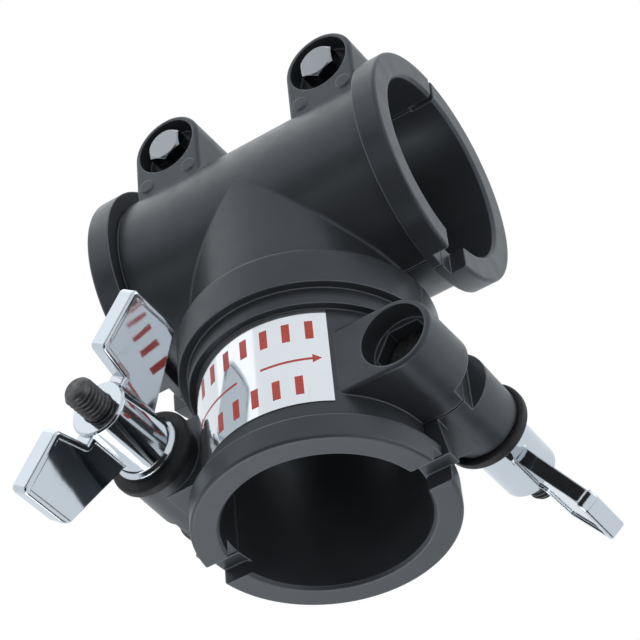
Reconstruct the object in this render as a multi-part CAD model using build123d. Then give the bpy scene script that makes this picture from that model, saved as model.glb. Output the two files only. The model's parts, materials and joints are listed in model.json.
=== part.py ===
from build123d import *

import os
from math import acos, cos, degrees, radians, sin, sqrt

# Split tee clamp for round rack tube: two moulded half shells on four bolts.
# All sizes in millimetres. The run lies along X, the leg points down -Z, and every
# bolt lies along Y. The origin is where the two bore axes cross.

# Tube and bores
tube_diameter = 38.1
grip_clearance = 0.1
bore_radius = tube_diameter / 2 + grip_clearance
bore_lead_in = 0.6

# Half shells
wall = 2.45
body_radius = bore_radius + wall
run_neck = 6.25
leg_length = 70.4
parting_gap = 0.4
edge_round = 0.6

# End flanges
flange_width = 5.1
flange_rise = 2.85
flange_radius = body_radius + flange_rise
groove_width = 0.45
groove_depth = 0.5
shoulder_round = 0.3

# Notches between the flange halves, and the ribs above the leg's notches
notch_depth = 3.3
notch_half_width = 3.2
notch_corner_round = 1.4
run_top_gap = 1.2
rib_thickness = 3.6
rib_top_rise = 2.5
rib_foot_rise = 1.4

# Collar below the tee
collar_gap = 4.8
collar_width = 8.0
collar_rise = 3.4
collar_flare = 2.0
mitre_round = 1.0
band_width = 3.7
band_rise = 1.6

# Ears
ear_wall = 1.35
ear_draft = 1.0
ear_round = 0.7
counterbore_radius = 6.5
ear_radius = counterbore_radius + ear_wall
run_ear_inset = 15.1
run_ear_height = 2.6
run_ear_face = 17.4
run_counterbore_depth = 4.0
leg_ear_reach = 4.4
leg_ear_setback = 19.5
leg_ear_face = 16.1
leg_counterbore_depth = 4.5
boss_end = 14.6
boss_web_depth = 12.0
pin_mark_radius = 1.5
pin_mark_height = 0.3
pin_mark_spread = 5.0
pin_mark_drop = 8.6

# Run bolts: hex bolt, two flat washers and a nut
run_bolt_diameter = 4.0
run_hex_flats = 7.0
run_head_height = 3.6
run_nut_height = 4.0
run_washer_radius = 5.0
run_washer_thickness = 1.2
run_bolt_past_nut = 1.5
hole_clearance = 0.25

# Leg bolts: hex bolt held in a hex pocket, washer and wing nut
leg_bolt_diameter = 6.0
leg_hex_flats = 10.0
leg_head_height = 4.0
leg_head_recess = 2.5
hex_pocket_clearance = 0.15
wing_washer_radius = 8.7
wing_washer_thickness = 2.4
bolt_end_reach = 38.9
bolt_end_chamfer = 0.7
nut_thread_clearance = 0.08
nut_seat_gap = 0.05

# Wing nut
hub_height = 15.4
hub_base_radius = 6.6
hub_top_radius = 5.75
hub_foot_height = 1.0
hub_foot_rise = 0.7
hub_rim = 0.4
wing_span_radius = 21.1
wing_height = 22.4
wing_thickness = 3.8
wing_root_radius = 4.6
wing_root_height = 3.9
wing_heel_height = 9.8
wing_inner_radius = 8.5
wing_shoulder_radius = 7.0
wing_shoulder_drop = 0.7
wing_top_round = 1.2
wing_heel_round = 2.6
wing_edge_round = 0.5
wing_rim = 1.2
wing_pocket_depth = 0.4
wing_angle = 53.0

# Label on the leg
label_thickness = 0.16
label_glue = 0.03
label_top_gap = 0.5
label_bottom_gap = 4.75
label_side_gap = 0.7

# Places worked out from the sizes above
end_band = flange_width + groove_width
run_end = body_radius + run_neck + end_band
run_length = 2 * run_end
run_ear_x = run_end - run_ear_inset
run_ear_z = body_radius + run_ear_height
leg_ear_x = body_radius + leg_ear_reach
leg_ear_z = leg_ear_setback - leg_length
collar_drop = body_radius + collar_gap
collar_bottom = -collar_drop - collar_width
collar_radius = body_radius + collar_rise
band_radius = body_radius + band_rise
band_bottom = collar_bottom - band_width
washer_outer = boss_end + wing_washer_thickness
nut_base = washer_outer + nut_seat_gap
run_counterbore_floor = run_ear_face - run_counterbore_depth
leg_counterbore_floor = leg_ear_face - leg_counterbore_depth
leg_pocket_floor = leg_counterbore_floor - leg_head_recess - leg_head_height
label_top = band_bottom - label_top_gap
label_bottom = end_band + label_bottom_gap - leg_length
label_left_angle = degrees(acos((boss_web_depth + label_side_gap) / body_radius))
label_right_angle = degrees(acos((leg_ear_face + label_side_gap) / body_radius))
notch_floor_z = notch_depth - leg_length
rib_top_z = leg_ear_z - ear_radius + ear_wall
beyond = run_length + leg_length                       # longer than any cut needs


def at_front(x, y, z):
    """A plane facing -Y at the given point, with its local x along +X."""
    return Plane(origin=(x, -y, z), x_dir=(1, 0, 0), z_dir=(0, -1, 0))


def at_rear(x, y, z):
    """A plane facing +Y at the given point, with its local x along -X."""
    return Plane(origin=(x, y, z), x_dir=(-1, 0, 0), z_dir=(0, 1, 0))


def rod(plane, radius, length):
    """A cylinder that starts on the plane and rises along its normal."""
    return plane * Cylinder(radius, length, align=(Align.CENTER, Align.CENTER, Align.MIN))


def block(x_range, y_range, z_range):
    """A box from its limits along X, Y and Z."""
    sizes = [limits[1] - limits[0] for limits in (x_range, y_range, z_range)]
    middle = [(limits[0] + limits[1]) / 2 for limits in (x_range, y_range, z_range)]
    return Pos(*middle) * Box(*sizes)


def turned(points, about):
    """A solid of revolution from a profile drawn in the XZ plane."""
    return revolve(Plane.XZ * make_face(Polyline(*points, close=True)), axis=about)


def round_rims(solid, axis, radius, places, amount):
    """Rounds the circular edges of one radius at the given places along an axis."""
    rims = [edge for edge in solid.edges().filter_by(GeomType.CIRCLE)
            if abs(edge.radius - radius) < 0.01
            and any(abs(edge.arc_center.dot(axis.direction) - place) < 0.01 for place in places)]
    return fillet(rims, amount)


def flange_profile(end):
    """Half profile (distance along the axis, radius) from the shell's end inward."""
    flange_back = end - flange_width
    groove_back = end - end_band
    return [(end, 0), (end, flange_radius), (flange_back, flange_radius),
            (flange_back, body_radius - groove_depth), (groove_back, body_radius - groove_depth),
            (groove_back, body_radius)]


def run_sleeve():
    """The outside of the run: a body with a fine groove and a flange at each end."""
    right_end = flange_profile(run_end)
    left_end = [(-along, radius) for along, radius in reversed(right_end)]
    sleeve = turned(right_end + left_end, Axis.X)
    shoulder = run_end - end_band
    sleeve = round_rims(sleeve, Axis.X, flange_radius, (-run_end, run_end), edge_round)
    return round_rims(sleeve, Axis.X, body_radius, (-shoulder, shoulder), shoulder_round)


def leg_sleeve():
    """The outside of the leg: flared collar, narrow band, body and end flange."""
    collar_top = -collar_drop
    foot = [(radius, -along) for along, radius in flange_profile(leg_length)]
    stem = [(body_radius, band_bottom), (band_radius, band_bottom), (band_radius, collar_bottom),
            (collar_radius, collar_bottom), (collar_radius, collar_top),
            (body_radius, collar_top + collar_flare), (body_radius, 0), (0, 0)]
    sleeve = turned(foot + stem, Axis.Z)
    sleeve = round_rims(sleeve, Axis.Z, flange_radius, (-leg_length,), edge_round)
    return round_rims(sleeve, Axis.Z, collar_radius, (collar_top,), edge_round)


def ear_prism(plane, inward, reach, depth):
    """A round-topped ear: a disc joined to the tube by a straight-sided web."""
    web = Pos(inward.X * reach / 2, inward.Y * reach / 2) * Rectangle(
        abs(inward.X) * reach + abs(inward.Y) * 2 * ear_radius,
        abs(inward.Y) * reach + abs(inward.X) * 2 * ear_radius)
    prism = extrude(plane * (Circle(ear_radius) + web), depth, taper=ear_draft)
    face = prism.faces().sort_by(Axis.Y)[0 if plane.z_dir.Y < 0 else -1]
    return fillet(face.outer_wire().edges(), ear_round)


def leg_boss(plane):
    """A round boss that carries the wing nut, with a web to the leg."""
    boss = extrude(plane * Circle(ear_radius), boss_end, taper=ear_draft)
    tip = boss.faces().sort_by(Axis.Y)[0 if plane.z_dir.Y < 0 else -1]
    boss = fillet(tip.edges(), ear_round / 2)
    web = plane * Pos(leg_ear_reach, 0, 0) * Box(
        2 * leg_ear_reach, 2 * ear_radius, boss_web_depth,
        align=(Align.CENTER, Align.CENTER, Align.MIN))
    return boss + web


def tee_body():
    """The run and the leg joined, with the mitre between them softened."""
    body = run_sleeve() + leg_sleeve()
    mitre = [edge for edge in body.edges().filter_by(GeomType.ELLIPSE)
             if (edge @ 0.5).Z < -wall]
    return fillet(mitre, mitre_round)


def outer_body():
    """Both half shells as one outside shape, before the bores and the split."""
    body = tee_body()
    for side in (-1, 1):
        for plane in (at_front(side * run_ear_x, 0, run_ear_z),
                      at_rear(side * run_ear_x, 0, run_ear_z)):
            body += ear_prism(plane, Vector(0, -1), run_ear_z / 2, run_ear_face)
    for plane in (at_front(leg_ear_x, 0, leg_ear_z), at_rear(-leg_ear_x, 0, leg_ear_z)):
        body += ear_prism(plane, Vector(-1, 0), leg_ear_x / 2, leg_ear_face)
    for plane in (at_rear(leg_ear_x, 0, leg_ear_z), at_front(-leg_ear_x, 0, leg_ear_z)):
        body += leg_boss(plane)
    return body


def bores():
    """The tube space: straight through the run, and up the leg to meet it."""
    cut = Rot(Y=90) * Cylinder(bore_radius, beyond)
    cut += Cylinder(bore_radius, beyond, align=(Align.CENTER, Align.CENTER, Align.MAX))
    mouth = Cone(bore_radius, bore_radius + bore_lead_in, bore_lead_in,
                 align=(Align.CENTER, Align.CENTER, Align.MAX))
    for turn, end in ((90, run_end), (-90, run_end), (180, leg_length)):
        cut += Rot(Y=turn) * Pos(0, 0, end) * mouth
    return cut


def notches():
    """What separates the flange halves: wide below and on the leg, narrow on top."""
    wide = (-notch_half_width, notch_half_width)
    narrow = (-run_top_gap / 2, run_top_gap / 2)
    cut = block((-beyond, beyond), wide, (-beyond, notch_floor_z))
    for side in (-1, 1):
        low_ends = sorted((side * (run_end - notch_depth), side * beyond))
        top_ends = sorted((side * (run_end - flange_width), side * beyond))
        cut += block(low_ends, wide, (-beyond, 0))
        cut += block(top_ends, narrow, (0, beyond))
    return cut


def bolt_holes():
    """Holes, counterbores and hex pockets for the four bolts."""
    cut = Part()
    for x in (-run_ear_x, run_ear_x):
        cut += Pos(x, 0, run_ear_z) * Rot(X=90) * Cylinder(
            run_bolt_diameter / 2 + hole_clearance, beyond)
        for place in (at_front, at_rear):
            cut += rod(place(x, run_counterbore_floor, run_ear_z), counterbore_radius, beyond)
    for x, place in ((leg_ear_x, at_front), (-leg_ear_x, at_rear)):
        cut += Pos(x, 0, leg_ear_z) * Rot(X=90) * Cylinder(
            leg_bolt_diameter / 2 + hole_clearance, beyond)
        cut += rod(place(x, leg_counterbore_floor, leg_ear_z), counterbore_radius, beyond)
        pocket = RegularPolygon(leg_hex_flats / 2 + hex_pocket_clearance, 6, major_radius=False)
        cut += extrude(place(x, leg_pocket_floor, leg_ear_z) * pocket,
                       leg_counterbore_floor - leg_pocket_floor + bore_lead_in)
    return cut


def pin_marks():
    """The raised round ejector marks low on each run ear."""
    marks = Part()
    for x in (-run_ear_x, run_ear_x):
        for shift in (-pin_mark_spread, pin_mark_spread):
            for place in (at_front, at_rear):
                root = place(x + shift, run_ear_face - wall, run_ear_z - pin_mark_drop)
                marks += rod(root, pin_mark_radius, wall + pin_mark_height)
    return marks


def rib():
    """The rear half's flared rib, from the right leg boss down to the notch in the flange."""
    inner = body_radius - wall / 2
    side_view = Polyline((inner, rib_top_z), (body_radius + rib_top_rise, rib_top_z),
                         (flange_radius + rib_foot_rise, notch_floor_z), (inner, notch_floor_z),
                         close=True)
    near = Plane.XZ.offset(-parting_gap / 2) * make_face(side_view)
    return extrude(near, parting_gap / 2 - rib_thickness)


def soften_notches(half):
    """Rounds the corners where the wide notches meet the bores."""
    corners = []
    for edge in half.edges().filter_by(GeomType.LINE):
        middle = edge @ 0.5
        on_leg = abs(abs(middle.X) - sqrt(bore_radius ** 2 - notch_half_width ** 2)) < 0.01
        on_run = abs(middle.Z + sqrt(bore_radius ** 2 - notch_half_width ** 2)) < 0.01
        at_notch = abs(abs(middle.Y) - notch_half_width) < 0.01
        if at_notch and (on_leg or on_run):
            corners.append(edge)
    return fillet(corners, notch_corner_round)


def rear_shell():
    """The rear half of the clamp. The front half is the same moulding, half a turn round."""
    whole = outer_body() + pin_marks() - bores() - notches() - bolt_holes()
    half = whole & block((-beyond, beyond), (parting_gap / 2, beyond), (-beyond, beyond))
    return soften_notches(half) + rib()


def hex_solid(plane, flats, height):
    """A hex prism on the plane with its outer corners turned down."""
    corner = flats / sqrt(3)
    blank = rod(plane, corner, height)
    top = blank.faces().filter_by(GeomType.PLANE).sort_by(
        lambda face: (face.center() - plane.origin).length)[-1]
    blank = chamfer(top.edges(), (corner - flats / 2) / 2, corner - flats / 2)
    return blank & extrude(plane * RegularPolygon(flats / 2, 6, major_radius=False), height)


def hex_bolt(seat, flats, head_height, diameter, length):
    """A bolt whose head stands on the plane and whose shank runs back from it."""
    shank = seat * Cylinder(diameter / 2, length, align=(Align.CENTER, Align.CENTER, Align.MAX))
    tip = shank.faces().sort_by(lambda face: (face.center() - seat.origin).length)[-1]
    return hex_solid(seat, flats, head_height) + chamfer(tip.edges(), bolt_end_chamfer)


def run_bolt(x):
    """The bolt through one pair of run ears, its head at the front."""
    seat = run_counterbore_floor + run_washer_thickness
    length = 2 * seat + run_nut_height + run_bolt_past_nut
    return hex_bolt(at_front(x, seat, run_ear_z), run_hex_flats, run_head_height,
                    run_bolt_diameter, length)


def run_washer(x, place):
    """A flat washer on a run counterbore's floor."""
    ring = Circle(run_washer_radius) - Circle(run_bolt_diameter / 2 + hole_clearance)
    return extrude(place(x, run_counterbore_floor, run_ear_z) * ring, run_washer_thickness)


def run_nut(x):
    """The hex nut at the rear of a run bolt."""
    seat = at_rear(x, run_counterbore_floor + run_washer_thickness, run_ear_z)
    nut = hex_solid(seat, run_hex_flats, run_nut_height)
    return nut - rod(seat, run_bolt_diameter / 2 + nut_thread_clearance, beyond)


def leg_bolt():
    """The left leg bolt: its head in the rear half's hex pocket, its end at the front."""
    return hex_bolt(at_rear(-leg_ear_x, leg_pocket_floor, leg_ear_z), leg_hex_flats,
                    leg_head_height, leg_bolt_diameter, leg_pocket_floor + bolt_end_reach)


def wing_washer():
    """The left leg's black washer, with a rounded outer edge."""
    ring = Circle(wing_washer_radius) - Circle(leg_bolt_diameter / 2 + hole_clearance)
    washer = extrude(at_front(-leg_ear_x, boss_end, leg_ear_z) * ring, wing_washer_thickness)
    rims = [edge for edge in washer.edges().filter_by(GeomType.CIRCLE)
            if abs(edge.radius - wing_washer_radius) < 0.01]
    return fillet(rims, wing_washer_thickness / 3)


def wing_blade():
    """One flat blade in the XZ plane, with a raised rim round its outline."""
    shoulder = hub_height - wing_shoulder_drop
    outline = Polyline((wing_root_radius, wing_root_height), (wing_span_radius, wing_heel_height),
                       (wing_span_radius, wing_height), (wing_inner_radius, wing_height),
                       (wing_shoulder_radius, shoulder), (wing_root_radius, shoulder), close=True)
    shape = make_face(outline)
    heel = shape.vertices().sort_by(Axis.X)[-2:].sort_by(Axis.Y)[0]
    shape = fillet(heel, wing_heel_round)
    top_corners = shape.vertices().sort_by(Axis.Y)[-2:]
    shape = fillet(top_corners, wing_top_round)
    blade = extrude(Plane.XZ * shape, wing_thickness / 2, both=True)
    sides = blade.faces().filter_by(Axis.Y)
    blade = fillet([edge for side in sides for edge in side.edges()], wing_edge_round)
    recess = offset(shape, -wing_rim)
    recess += Pos(0, -2 * wing_rim) * recess        # the pocket runs out over the heel
    floor = wing_thickness / 2 - wing_pocket_depth
    for facing in (-1, 1):
        blade -= extrude(Plane.XZ.offset(facing * floor) * recess, facing * wing_thickness)
    return blade


def wing_nut():
    """A wing nut standing on the XY plane, its thread along Z."""
    thread = leg_bolt_diameter / 2 + nut_thread_clearance
    hub = turned([(thread, 0), (hub_base_radius, 0), (hub_base_radius, hub_foot_height),
                  (hub_base_radius - hub_foot_rise, hub_foot_height + hub_foot_rise),
                  (hub_top_radius, hub_height - hub_rim), (hub_top_radius - hub_rim, hub_height),
                  (thread, hub_height)], Axis.Z)
    blade = wing_blade() - Cylinder(thread + wall / 2, beyond)
    return hub + blade + Rot(Z=180) * blade


def seated_wing_nut():
    """The left wing nut on its washer, turned as it is left after tightening."""
    turn = radians(wing_angle)
    seat = Plane(origin=(-leg_ear_x, -nut_base, leg_ear_z), x_dir=(cos(turn), 0, sin(turn)),
                 z_dir=(0, -1, 0))
    return seat * wing_nut()


def label_strip():
    """The thin label wrapped round the front of the leg, between the boss web and the ear."""
    middle = Pos(body_radius + label_glue + label_thickness / 2, (label_top + label_bottom) / 2)
    section = middle * Rectangle(label_thickness, label_top - label_bottom)
    strip = revolve(Plane.XZ * section, axis=Axis.Z,
                    revolution_arc=label_left_angle + label_right_angle)
    return Rot(Z=-90 - label_left_angle) * strip


def opposite(solid):
    """The same piece on the other side of the clamp, half a turn about the leg."""
    return Rot(Z=180) * solid


def build():
    """Every piece by its node name."""
    rear_half = rear_shell()
    pieces = {"front_half": opposite(rear_half), "rear_half": rear_half}
    for side, x in (("left", -run_ear_x), ("right", run_ear_x)):
        pieces[f"{side}_run_bolt"] = run_bolt(x)
        pieces[f"{side}_run_nut"] = run_nut(x)
        pieces[f"{side}_run_head_washer"] = run_washer(x, at_front)
        pieces[f"{side}_run_nut_washer"] = run_washer(x, at_rear)
    left_pieces = {"leg_bolt": leg_bolt(), "wing_washer": wing_washer(),
                   "wing_nut": seated_wing_nut()}
    for name, solid in left_pieces.items():
        pieces[f"left_{name}"] = solid
        pieces[f"right_{name}"] = opposite(solid)
    pieces["label_strip"] = label_strip()
    return pieces


os.makedirs("parts", exist_ok=True)
for node, solid in build().items():
    export_step(solid, f"parts/{node}.step")
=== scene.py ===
import json
import math
import bmesh
import bpy
from mathutils import Euler, Matrix, Vector


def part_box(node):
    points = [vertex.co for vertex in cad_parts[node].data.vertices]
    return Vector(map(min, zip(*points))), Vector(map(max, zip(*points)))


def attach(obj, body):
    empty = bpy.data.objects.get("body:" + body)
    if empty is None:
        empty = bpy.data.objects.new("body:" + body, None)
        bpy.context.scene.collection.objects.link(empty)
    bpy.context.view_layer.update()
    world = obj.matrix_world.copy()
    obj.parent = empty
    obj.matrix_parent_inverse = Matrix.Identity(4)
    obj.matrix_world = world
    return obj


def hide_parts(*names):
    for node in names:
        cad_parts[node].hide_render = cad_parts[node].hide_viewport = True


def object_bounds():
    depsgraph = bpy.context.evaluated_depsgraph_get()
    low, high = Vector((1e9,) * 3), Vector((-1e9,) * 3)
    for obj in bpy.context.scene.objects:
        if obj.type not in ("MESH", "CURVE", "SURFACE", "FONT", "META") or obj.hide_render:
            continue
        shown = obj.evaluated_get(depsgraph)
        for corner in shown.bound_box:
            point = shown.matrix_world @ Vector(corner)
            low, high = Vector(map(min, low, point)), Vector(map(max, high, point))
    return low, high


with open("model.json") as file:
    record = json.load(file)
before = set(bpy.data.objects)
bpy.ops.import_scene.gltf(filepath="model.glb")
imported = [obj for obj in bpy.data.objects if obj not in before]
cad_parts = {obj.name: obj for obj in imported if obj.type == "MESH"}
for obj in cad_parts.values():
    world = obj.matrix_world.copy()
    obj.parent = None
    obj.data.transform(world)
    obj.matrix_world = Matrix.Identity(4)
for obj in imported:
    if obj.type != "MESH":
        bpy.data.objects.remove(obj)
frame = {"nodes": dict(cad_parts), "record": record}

# Split tee clamp for round tube. The shells, washers, nuts and label film are the frame's
# own pieces with new finishes. The bolts are made again here with real threads, and the
# red print on the label is added.

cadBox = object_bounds()
scene = bpy.context.scene
scene.view_settings.view_transform = "Standard"
mm = 0.001
print("frame loaded with", len(frame["nodes"]), "pieces")


# node helpers that the materials share
def startMaterial(name, settings):
    material = bpy.data.materials.new(name)
    material.use_nodes = True
    shader = material.node_tree.nodes["Principled BSDF"]
    for socketName, value in settings.items():
        shader.inputs[socketName].default_value = value
    return material, material.node_tree, shader


def noiseField(tree, scale, detail=2.0):
    place = tree.nodes.new("ShaderNodeTexCoord")
    noise = tree.nodes.new("ShaderNodeTexNoise")
    noise.inputs["Scale"].default_value = scale
    noise.inputs["Detail"].default_value = detail
    tree.links.new(place.outputs["Object"], noise.inputs["Vector"])
    return noise.outputs["Fac"]


def remap(tree, source, low, high, fromLow=0.3, fromHigh=0.7):
    # 0.3 to 0.7 is where most of a noise lies
    node = tree.nodes.new("ShaderNodeMapRange")
    for socketName, value in (("From Min", fromLow), ("From Max", fromHigh),
                              ("To Min", low), ("To Max", high)):
        node.inputs[socketName].default_value = value
    tree.links.new(source, node.inputs["Value"])
    return node.outputs["Result"]


def mixColours(tree, factor, first, second):
    node = tree.nodes.new("ShaderNodeMix")
    node.data_type = "RGBA"
    tree.links.new(factor, node.inputs["Factor"])
    # a Mix node's colour sockets are 6 and 7 going in and 2 coming out
    for socket, colour in zip((node.inputs[6], node.inputs[7]), (first, second)):
        if isinstance(colour, bpy.types.NodeSocket):
            tree.links.new(colour, socket)
        else:
            socket.default_value = (*colour, 1)
    return node.outputs[2]


def paintCloud(tree, shader, scale, first, second, detail=3.0):
    # the base colour drifts between two close colours
    cloud = remap(tree, noiseField(tree, scale, detail), 0, 1)
    tree.links.new(mixColours(tree, cloud, first, second), shader.inputs["Base Color"])


def varyRoughness(tree, shader, scale, low, high, detail=2.0):
    tree.links.new(remap(tree, noiseField(tree, scale, detail), low, high), shader.inputs["Roughness"])


def softEdge(tree, radius):
    node = tree.nodes.new("ShaderNodeBevel")
    node.samples = 6
    node.inputs["Radius"].default_value = radius
    return node.outputs["Normal"]


def edgeMask(tree, softNormal):
    # how far the softened edge turns away from the flat face beside it; this places the painted edge
    # highlight
    flat = tree.nodes.new("ShaderNodeNewGeometry")
    turn = tree.nodes.new("ShaderNodeVectorMath")
    turn.operation = "DOT_PRODUCT"
    tree.links.new(softNormal, turn.inputs[0])
    tree.links.new(flat.outputs["Normal"], turn.inputs[1])
    return remap(tree, turn.outputs["Value"], 1, 0, 0.8, 0.98)


def addBump(tree, shader, height, distance, strength=1.0, normal=None):
    node = tree.nodes.new("ShaderNodeBump")
    node.inputs["Strength"].default_value = strength
    node.inputs["Distance"].default_value = distance
    tree.links.new(height, node.inputs["Height"])
    if normal:
        tree.links.new(normal, node.inputs["Normal"])
    tree.links.new(node.outputs["Normal"], shader.inputs["Normal"])


# the lighter blue-grey edge colour is a painted highlight laid along the rounded edges
shellLook = dict(dark=(0.023, 0.025, 0.029), light=(0.032, 0.035, 0.040), edge=(0.22, 0.24, 0.27),
                 mottle=70, grain=2600, grainHeight=0.012 * mm, edgeRound=0.5 * mm)


def shellPlastic():
    look = shellLook
    material, tree, shader = startMaterial("satin black plastic", {
        "Specular IOR Level": 0.5, "Specular Tint": (0.86, 0.93, 1.0, 1)})
    normal = softEdge(tree, look["edgeRound"])
    cloud = remap(tree, noiseField(tree, look["mottle"], 3.0), 0, 1)
    body = mixColours(tree, cloud, look["dark"], look["light"])
    # painted highlight: the base colour turns towards the lighter edge colour where the softened normal
    # bends away from the face
    edges = remap(tree, edgeMask(tree, normal), 0, 0.7, 0, 1)
    tree.links.new(mixColours(tree, edges, body, look["edge"]), shader.inputs["Base Color"])
    varyRoughness(tree, shader, 240, 0.31, 0.41, 3.0)
    addBump(tree, shader, noiseField(tree, look["grain"]), look["grainHeight"], 0.5, normal)
    return material


def plating(name, colour, roughLow, roughHigh, wobble, edgeRound):
    # bright plating over a cast or turned surface that isn't quite flat
    material, tree, shader = startMaterial(name, {"Base Color": (*colour, 1), "Metallic": 1.0})
    varyRoughness(tree, shader, 320, roughLow, roughHigh, 4.0)
    addBump(tree, shader, noiseField(tree, 110), wobble, 0.5, softEdge(tree, edgeRound))
    return material


def darkSteel():
    material, tree, shader = startMaterial("dark oiled steel", {"Metallic": 0.85})
    paintCloud(tree, shader, 900, (0.055, 0.055, 0.058), (0.12, 0.12, 0.122))
    varyRoughness(tree, shader, 1400, 0.3, 0.5)
    addBump(tree, shader, noiseField(tree, 2200), 0.015 * mm, 0.5)
    return material


def washerRubber():
    material, tree, shader = startMaterial("black washer", {"Specular IOR Level": 0.25})
    paintCloud(tree, shader, 500, (0.007, 0.007, 0.008), (0.014, 0.014, 0.016))
    varyRoughness(tree, shader, 700, 0.42, 0.56)
    addBump(tree, shader, noiseField(tree, 1800), 0.01 * mm, 0.5, softEdge(tree, 0.3 * mm))
    return material


def labelFilm():
    material, tree, shader = startMaterial("metallised film", {"Metallic": 0.92, "Coat Weight": 0.3})
    paintCloud(tree, shader, 60, (0.72, 0.74, 0.77), (0.77, 0.79, 0.81), 2.0)
    varyRoughness(tree, shader, 400, 0.07, 0.13, 3.0)
    addBump(tree, shader, noiseField(tree, 90, 1.0), 0.02 * mm, 0.4)
    return material


def printInk():
    material, tree, shader = startMaterial("red ink", {"Specular IOR Level": 0.5})
    paintCloud(tree, shader, 1500, (0.44, 0.035, 0.02), (0.55, 0.06, 0.04))
    varyRoughness(tree, shader, 900, 0.28, 0.4)
    addBump(tree, shader, noiseField(tree, 3000, 1.0), 0.003 * mm, 0.4)
    return material


finishes = {"shell": shellPlastic(),
            "wing_nut_chrome": plating("bright plating on castings", (0.56, 0.60, 0.64),
                                       0.05, 0.10, 0.12 * mm, 0.35 * mm),
            "bolt_chrome": plating("bright plating on bolts", (0.27, 0.285, 0.30),
                                   0.12, 0.22, 0.04 * mm, 0.2 * mm),
            "leg_bolt_steel": darkSteel(),
            "washer_black": washerRubber(),
            "label": labelFilm()}
ink = printInk()

for part in frame["record"]["subparts"]:
    mesh = frame["nodes"][part["node"]].data
    mesh.materials.clear()
    # the washers deep in the counterbores take the near-black washer finish in place of their slot's, a
    # painted shade for the counterbore floors; the rest wear their slot's finish
    paintedShadeWasher = part["node"].endswith("run_head_washer")
    mesh.materials.append(finishes["washer_black" if paintedShadeWasher else part["material_slot"]])
print("finishes made:", len(finishes) + 1)


# helpers for the geometry nodes trees
def startTree(name, inputs):
    tree = bpy.data.node_groups.new(name, "GeometryNodeTree")
    for socketName, kind in inputs:
        tree.interface.new_socket(socketName, in_out="INPUT", socket_type=kind)
    tree.interface.new_socket("Mesh", in_out="OUTPUT", socket_type="NodeSocketGeometry")
    return tree, tree.nodes.new("NodeGroupInput").outputs


def calc(tree, operation, *values):
    # one Math node; numbers are set on it and sockets are linked
    node = tree.nodes.new("ShaderNodeMath")
    node.operation = operation
    for socket, value in zip(node.inputs, values):
        if isinstance(value, bpy.types.NodeSocket):
            tree.links.new(value, socket)
        else:
            socket.default_value = value
    return node.outputs[0]


def feed(tree, node, sources):
    for socketName, source in sources.items():
        tree.links.new(source, node.inputs[socketName])


def closeTree(tree, geometry, material):
    realize = tree.nodes.new("GeometryNodeRealizeInstances")
    paint = tree.nodes.new("GeometryNodeSetMaterial")
    paint.inputs["Material"].default_value = material
    output = tree.nodes.new("NodeGroupOutput")
    tree.links.new(geometry, realize.inputs["Geometry"])
    tree.links.new(realize.outputs["Geometry"], paint.inputs["Geometry"])
    tree.links.new(paint.outputs["Geometry"], output.inputs["Mesh"])
    return tree


def bakeTree(tree, settings):
    # runs the tree on an empty object and gives the plain mesh
    holder = bpy.data.objects.new("holder", bpy.data.meshes.new("holder"))
    scene.collection.objects.link(holder)
    modifier = holder.modifiers.new("nodes", "NODES")
    modifier.node_group = tree
    for item in tree.interface.items_tree:
        if item.in_out == "INPUT" and item.name in settings:
            modifier[item.identifier] = settings[item.name]
    ready = holder.evaluated_get(bpy.context.evaluated_depsgraph_get())
    mesh = bpy.data.meshes.new_from_object(ready)
    bpy.data.objects.remove(holder)
    return mesh


def addPiece(name, mesh, body):
    piece = bpy.data.objects.new(name, mesh)
    scene.collection.objects.link(piece)
    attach(piece, body)
    return piece


# how much of half a pitch the crest keeps flat, and where the root begins
threadShape = dict(crest=0.12, root=0.88)


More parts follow.
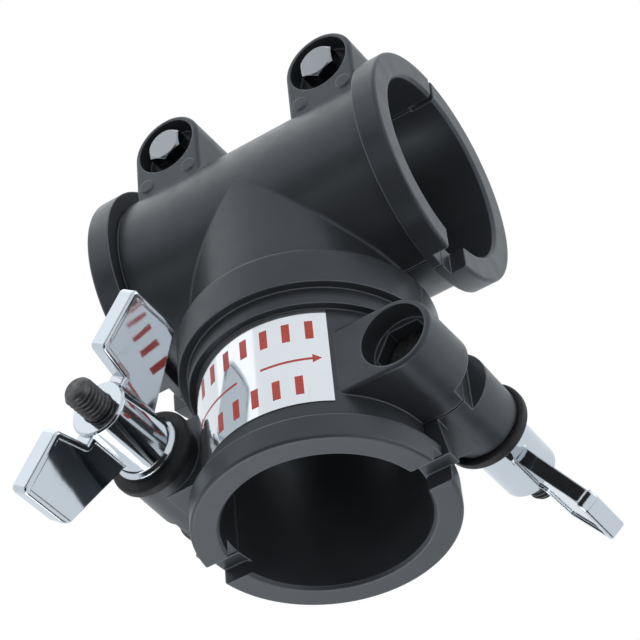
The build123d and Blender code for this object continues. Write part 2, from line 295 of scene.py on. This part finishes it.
def threadTree(material):
    # a rod along +Z from the origin whose surface follows a screw thread
    tree, given = startTree("threaded rod", [
        ("Radius", "NodeSocketFloat"), ("Length", "NodeSocketFloat"), ("Pitch", "NodeSocketFloat"),
        ("Depth", "NodeSocketFloat"), ("Thread Start", "NodeSocketFloat"),
        ("Tip Chamfer", "NodeSocketFloat"), ("Sides", "NodeSocketInt"), ("Rings", "NodeSocketInt")])
    rod = tree.nodes.new("GeometryNodeMeshCylinder")
    rod.fill_type = "TRIANGLE_FAN"
    feed(tree, rod, {"Vertices": given["Sides"], "Side Segments": given["Rings"],
                     "Radius": given["Radius"], "Depth": given["Length"]})
    split = tree.nodes.new("ShaderNodeSeparateXYZ")
    tree.links.new(tree.nodes.new("GeometryNodeInputPosition").outputs[0], split.inputs[0])
    x, y, z = split.outputs
    along = calc(tree, "ADD", z, calc(tree, "MULTIPLY", given["Length"], 0.5))
    turns = calc(tree, "DIVIDE", calc(tree, "ARCTAN2", y, x), 2 * math.pi)
    phase = calc(tree, "FRACT", calc(tree, "SUBTRACT", calc(tree, "DIVIDE", along, given["Pitch"]),
                                     turns))
    ridge = calc(tree, "ABSOLUTE", calc(tree, "SUBTRACT", calc(tree, "MULTIPLY", phase, 2), 1))
    flank = tree.nodes.new("ShaderNodeMapRange")
    flank.interpolation_type = "SMOOTHSTEP"
    flank.inputs["From Min"].default_value = threadShape["crest"]
    flank.inputs["From Max"].default_value = threadShape["root"]
    tree.links.new(ridge, flank.inputs["Value"])
    # the thread fades in over one pitch where the plain shank ends
    runOut = calc(tree, "DIVIDE", calc(tree, "SUBTRACT", along, given["Thread Start"]), given["Pitch"])
    fade = calc(tree, "MINIMUM", calc(tree, "MAXIMUM", runOut, 0), 1)
    cut = calc(tree, "MULTIPLY", calc(tree, "MULTIPLY", flank.outputs["Result"], fade), given["Depth"])
    past = calc(tree, "SUBTRACT", calc(tree, "ADD", along, given["Tip Chamfer"]), given["Length"])
    taper = calc(tree, "MAXIMUM", past, 0)
    keep = calc(tree, "SUBTRACT", given["Radius"], calc(tree, "MAXIMUM", cut, taper))
    share = calc(tree, "DIVIDE", keep, given["Radius"])
    join = tree.nodes.new("ShaderNodeCombineXYZ")
    feed(tree, join, {"X": calc(tree, "MULTIPLY", x, share), "Y": calc(tree, "MULTIPLY", y, share),
                      "Z": along})
    place = tree.nodes.new("GeometryNodeSetPosition")
    feed(tree, place, {"Geometry": rod.outputs["Mesh"], "Position": join.outputs["Vector"]})
    smooth = tree.nodes.new("GeometryNodeSetShadeSmooth")
    tree.links.new(place.outputs["Geometry"], smooth.inputs["Geometry"])
    return closeTree(tree, smooth.outputs["Geometry"], material)


headShape = dict(coneDegrees=30, faceShare=0.95, stepsPerSide=8)


def hexHead(flats, height):
    # a hex head over z 0 to height, its corners turned down by a cone
    inner = flats / 2
    face = inner * headShape["faceShare"]
    corner = inner / math.cos(math.pi / 6)
    steps = headShape["stepsPerSide"]
    shape = bmesh.new()
    outline = []
    for side in range(6):
        start, end = (Vector((math.cos(a), math.sin(a), 0)) * corner
                      for a in (side * math.pi / 3, (side + 1) * math.pi / 3))
        outline += [start.lerp(end, step / steps) for step in range(steps)]
    drop = math.tan(math.radians(headShape["coneDegrees"]))
    rings = [[shape.verts.new(p) for p in outline],
             [shape.verts.new((p.x, p.y, height - (p.length - face) * drop)) for p in outline],
             [shape.verts.new((*(p.xy.normalized() * face), height)) for p in outline]]
    count = len(outline)
    for low, high in zip(rings, rings[1:]):
        for i in range(count):
            shape.faces.new((low[i], low[(i + 1) % count], high[(i + 1) % count], high[i]))
    shape.faces.new(rings[0][::-1])
    shape.faces.new(rings[2])
    mesh = bpy.data.meshes.new("hex head")
    shape.to_mesh(mesh)
    shape.free()
    return mesh


boltKinds = {"leg": dict(radius=3.0 * mm, pitch=1.0 * mm, depth=0.55 * mm, flats=10 * mm,
                         headHeight=4.0 * mm, chamfer=0.7 * mm, threadLength=26 * mm),
             "run": dict(radius=2.0 * mm, pitch=0.7 * mm, depth=0.38 * mm, flats=7 * mm,
                         headHeight=3.6 * mm, chamfer=0.7 * mm, threadLength=12 * mm)}
rodSides = 40
ringsPerTurn = 12


def makeBolt(side, kind, towards):
    # towards is -1 for a tip that points to -Y and 1 for one that points to +Y
    sizes = boltKinds[kind]
    node = f"{side}_{kind}_bolt"
    low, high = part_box(node)
    middle = (low + high) / 2
    headEnd, tip = (high[1], low[1]) if towards < 0 else (low[1], high[1])
    slotName = "leg_bolt_steel" if kind == "leg" else "bolt_chrome"
    length = abs(tip - headEnd) - sizes["headHeight"] / 2
    rod = bakeTree(threadTree(finishes[slotName]), {
        "Radius": sizes["radius"], "Length": length, "Pitch": sizes["pitch"],
        "Depth": sizes["depth"], "Thread Start": length - sizes["threadLength"],
        "Tip Chamfer": sizes["chamfer"], "Sides": rodSides,
        "Rings": int(length / sizes["pitch"] * ringsPerTurn)})
    seat = headEnd + towards * sizes["headHeight"]
    shape = bmesh.new()
    shape.from_mesh(rod)
    turn = Matrix.Rotation(math.radians(-90 * towards), 4, "X")
    start = headEnd + towards * sizes["headHeight"] / 2
    shape.transform(Matrix.Translation((middle.x, start, middle.z)) @ turn)
    head = hexHead(sizes["flats"], sizes["headHeight"])
    back = Matrix.Rotation(math.radians(90 * towards), 4, "X")
    flat = Matrix.Rotation(math.radians(30), 4, "Z")
    head.transform(Matrix.Translation((middle.x, seat, middle.z)) @ back @ flat)
    shape.from_mesh(head)
    bmesh.ops.recalc_face_normals(shape, faces=shape.faces)
    mesh = bpy.data.meshes.new(node + " threaded")
    shape.to_mesh(mesh)
    shape.free()
    mesh.materials.append(finishes[slotName])
    piece = addPiece(node + "_threaded", mesh, "root")
    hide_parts(node)


for side, towards in (("left", -1), ("right", 1)):
    makeBolt(side, "leg", towards)
    makeBolt(side, "run", 1)
print("bolts threaded: 4")


printLook = dict(proud=0.015 * mm, sunk=0.06 * mm, barHeight=4.2 * mm, barWidth=1.5 * mm,
                 barPitchDegrees=11.2, upperRow=dict(bars=7, top=-41.2 * mm, startDegrees=-37.0),
                 lowerRow=dict(bars=5, top=-53.8 * mm, startDegrees=-21.5),
                 arrowLevel=-50.1 * mm, stroke=0.5 * mm, headWidth=2.0 * mm, headDegrees=4.4,
                 headStepDegrees=0.01, tipHalf=0.02 * mm, arrows=((5.0, 35.0), (-8.5, -45.0)))


def barTree(material):
    # upright bars in a row, wrapped round the film; positions are lengths along the arc
    tree, given = startTree("printed bars", [
        ("Bars", "NodeSocketInt"), ("Bar Width", "NodeSocketFloat"), ("Bar Height", "NodeSocketFloat"),
        ("Thickness", "NodeSocketFloat"), ("Spacing", "NodeSocketFloat"), ("Start", "NodeSocketFloat"),
        ("Level", "NodeSocketFloat"), ("Radius", "NodeSocketFloat")])
    size = tree.nodes.new("ShaderNodeCombineXYZ")
    feed(tree, size, {"X": given["Bar Width"], "Y": given["Thickness"], "Z": given["Bar Height"]})
    bar = tree.nodes.new("GeometryNodeMeshCube")
    bar.inputs["Vertices X"].default_value = 5
    tree.links.new(size.outputs[0], bar.inputs["Size"])
    first = tree.nodes.new("ShaderNodeCombineXYZ")
    feed(tree, first, {"X": given["Start"], "Z": given["Level"]})
    step = tree.nodes.new("ShaderNodeCombineXYZ")
    feed(tree, step, {"X": given["Spacing"]})
    row = tree.nodes.new("GeometryNodeMeshLine")
    feed(tree, row, {"Count": given["Bars"], "Start Location": first.outputs[0],
                     "Offset": step.outputs[0]})
    copies = tree.nodes.new("GeometryNodeInstanceOnPoints")
    feed(tree, copies, {"Points": row.outputs["Mesh"], "Instance": bar.outputs["Mesh"]})
    solid = tree.nodes.new("GeometryNodeRealizeInstances")
    tree.links.new(copies.outputs["Instances"], solid.inputs["Geometry"])
    split = tree.nodes.new("ShaderNodeSeparateXYZ")
    tree.links.new(tree.nodes.new("GeometryNodeInputPosition").outputs[0], split.inputs[0])
    x, y, z = split.outputs
    angle = calc(tree, "DIVIDE", x, given["Radius"])
    reach = calc(tree, "ADD", given["Radius"], y)
    wrapped = tree.nodes.new("ShaderNodeCombineXYZ")
    feed(tree, wrapped, {"X": calc(tree, "MULTIPLY", calc(tree, "SINE", angle), reach),
                         "Y": calc(tree, "MULTIPLY", calc(tree, "COSINE", angle),
                                   calc(tree, "MULTIPLY", reach, -1)), "Z": z})
    place = tree.nodes.new("GeometryNodeSetPosition")
    feed(tree, place, {"Geometry": solid.outputs["Geometry"], "Position": wrapped.outputs[0]})
    return closeTree(tree, place.outputs["Geometry"], material)


def addArrow(shape, radius, look, startDegrees, tipDegrees, steps=24):
    # a thin stroke round the film that ends in a pointed head
    towards = 1 if tipDegrees > startDegrees else -1
    neck = tipDegrees - towards * look["headDegrees"]
    stations = [(startDegrees + (neck - startDegrees) * i / steps, look["stroke"] / 2)
                for i in range(steps + 1)]
    stations += [(neck + towards * look["headStepDegrees"], look["headWidth"] / 2),
                 ((neck + tipDegrees) / 2, look["headWidth"] / 4), (tipDegrees, look["tipHalf"])]
    sections = []
    for degrees, half in stations:
        angle = math.radians(degrees)
        section = []
        for reach, rise in ((-look["sunk"], -half), (look["proud"], -half),
                            (look["proud"], half), (-look["sunk"], half)):
            section.append(shape.verts.new(((radius + reach) * math.sin(angle),
                                            -(radius + reach) * math.cos(angle),
                                            look["arrowLevel"] + rise)))
        sections.append(section)
    for first, second in zip(sections, sections[1:]):
        for i in range(4):
            shape.faces.new((first[i], first[(i + 1) % 4], second[(i + 1) % 4], second[i]))
    shape.faces.new(sections[0])
    shape.faces.new(sections[-1])


def printLabel():
    # the film is centred on the leg's axis, so its front is one radius out
    look = printLook
    radius = -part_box("label_strip")[0][1]
    shape = bmesh.new()
    tree = barTree(ink)
    for row in (look["upperRow"], look["lowerRow"]):
        shape.from_mesh(bakeTree(tree, {
            "Bars": row["bars"], "Bar Width": look["barWidth"], "Bar Height": look["barHeight"],
            "Thickness": look["proud"] + look["sunk"],
            "Radius": radius + (look["proud"] - look["sunk"]) / 2,
            "Spacing": math.radians(look["barPitchDegrees"]) * radius,
            "Start": math.radians(row["startDegrees"]) * radius,
            "Level": row["top"] - look["barHeight"] / 2}))
    for startDegrees, tipDegrees in look["arrows"]:
        addArrow(shape, radius, look, startDegrees, tipDegrees)
    bmesh.ops.recalc_face_normals(shape, faces=shape.faces)
    mesh = bpy.data.meshes.new("label print")
    shape.to_mesh(mesh)
    shape.free()
    mesh.materials.append(ink)
    addPiece("label_print", mesh, "root")


printLabel()
print("label printed")


cameraSetup = dict(place=(0.17613, -0.31043, -0.34533), turn=(132.385, 4.566, 33.310), lens=142.35)


def setCamera():
    data = bpy.data.cameras.new("camera")
    data.lens = cameraSetup["lens"]
    data.sensor_width = 36
    camera = bpy.data.objects.new("camera", data)
    camera.location = cameraSetup["place"]
    camera.rotation_euler = Euler([math.radians(a) for a in cameraSetup["turn"]])
    scene.collection.objects.link(camera)
    scene.camera = camera


lampSetup = {"left": dict(place=(-0.6, -0.5, 0.65), size=0.7, watts=0.4),
             "top": dict(place=(-0.25, -0.1, 0.9), size=0.8, watts=0.9),
             "right": dict(place=(0.85, 0.2, 0.1), size=0.7, watts=1.4),
             "under": dict(place=(-0.35, 0.25, -0.83), size=0.7, watts=2.8)}
worldLevel = 0.75


def setLamps():
    aim = Vector((0, 0, -0.02))
    for name, lamp in lampSetup.items():
        data = bpy.data.lights.new(name, "AREA")
        data.shape = "DISK"
        data.size = lamp["size"]
        data.energy = lamp["watts"]
        light = bpy.data.objects.new(name, data)
        light.location = lamp["place"]
        light.rotation_euler = (aim - light.location).to_track_quat("-Z", "Y").to_euler()
        scene.collection.objects.link(light)


def setWorld():
    world = bpy.data.worlds.new("studio")
    scene.world = world
    world.use_nodes = True
    tree = world.node_tree
    background = tree.nodes["Background"]
    path = tree.nodes.new("ShaderNodeLightPath")
    seen = calc(tree, "MAXIMUM", path.outputs["Is Camera Ray"],
                calc(tree, "MAXIMUM", path.outputs["Is Glossy Ray"], path.outputs["Is Transmission Ray"]))
    strength = remap(tree, seen, worldLevel, 1.0, 0, 1)
    # what the pieces mirror is a little cooler than the white behind them
    tree.links.new(mixColours(tree, path.outputs["Is Glossy Ray"], (1, 1, 1), (0.93, 0.97, 1.0)),
                   background.inputs["Color"])
    tree.links.new(strength, background.inputs["Strength"])


# the floor is whole up to the first distance and gone at the second
floorFade = (0.2, 0.65)


def floorPaint():
    # pale from above, fading into the white behind it; clear from below, to reflections,
    # to bounced light and to lamps under it
    material = bpy.data.materials.new("pale floor")
    material.use_nodes = True
    tree = material.node_tree
    tree.nodes.clear()
    paint = tree.nodes.new("ShaderNodeBsdfDiffuse")
    paint.inputs["Color"].default_value = (0.9, 0.9, 0.9, 1)
    clear = tree.nodes.new("ShaderNodeBsdfTransparent")
    side = tree.nodes.new("ShaderNodeNewGeometry")
    path = tree.nodes.new("ShaderNodeLightPath")
    place = tree.nodes.new("ShaderNodeTexCoord")
    away = tree.nodes.new("ShaderNodeVectorMath")
    away.operation = "LENGTH"
    tree.links.new(place.outputs["Object"], away.inputs[0])
    near = remap(tree, away.outputs["Value"], 1, 0, *floorFade)
    front = calc(tree, "SUBTRACT", 1, side.outputs["Backfacing"])
    seen = calc(tree, "MULTIPLY", calc(tree, "MULTIPLY", path.outputs["Is Camera Ray"], front), near)
    mix = tree.nodes.new("ShaderNodeMixShader")
    output = tree.nodes.new("ShaderNodeOutputMaterial")
    tree.links.new(seen, mix.inputs["Fac"])
    tree.links.new(clear.outputs[0], mix.inputs[1])
    tree.links.new(paint.outputs[0], mix.inputs[2])
    tree.links.new(mix.outputs[0], output.inputs["Surface"])
    return material


def flatCard(name, corners, material):
    mesh = bpy.data.meshes.new(name)
    mesh.from_pydata(corners, [], [range(len(corners))])
    mesh.materials.append(material)
    card = bpy.data.objects.new(name, mesh)
    scene.collection.objects.link(card)
    return card


darkCards = [dict(name="dark card by the camera", place=(0.05, -0.65, -0.67), size=(1.5, 0.9)),
             dict(name="dark card below", place=(0.27, 0.6, -0.72), size=(0.5, 0.5)),
             dict(name="dark card in front", place=(-0.15, -1.1, 0.04), size=(1.2, 0.45))]


floorReach = 1.5
floorGap = 0.1 * mm


def setStage():
    flagBlack = startMaterial("black cloth", {"Base Color": (0.012, 0.012, 0.012, 1),
                                              "Roughness": 1.0})[0]
    level = cadBox[0][2] - floorGap
    reach = floorReach
    for card in darkCards:
        facing = (Vector(card["place"]) * -1).to_track_quat("Z", "Y").to_matrix()
        width, height = card["size"]
        corners = [Vector(card["place"]) + facing @ Vector((across * width, up * height, 0))
                   for across, up in ((-0.5, -0.5), (0.5, -0.5), (0.5, 0.5), (-0.5, 0.5))]
        flag = flatCard(card["name"], corners, flagBlack)
        flag.visible_camera = False
        flag.visible_diffuse = False
        flag.visible_transmission = False
    flatCard("floor", [(-reach, -reach, level), (reach, -reach, level), (reach, reach, level),
                       (-reach, reach, level)], floorPaint())


setCamera()
setLamps()
setWorld()
setStage()
print("stage set")
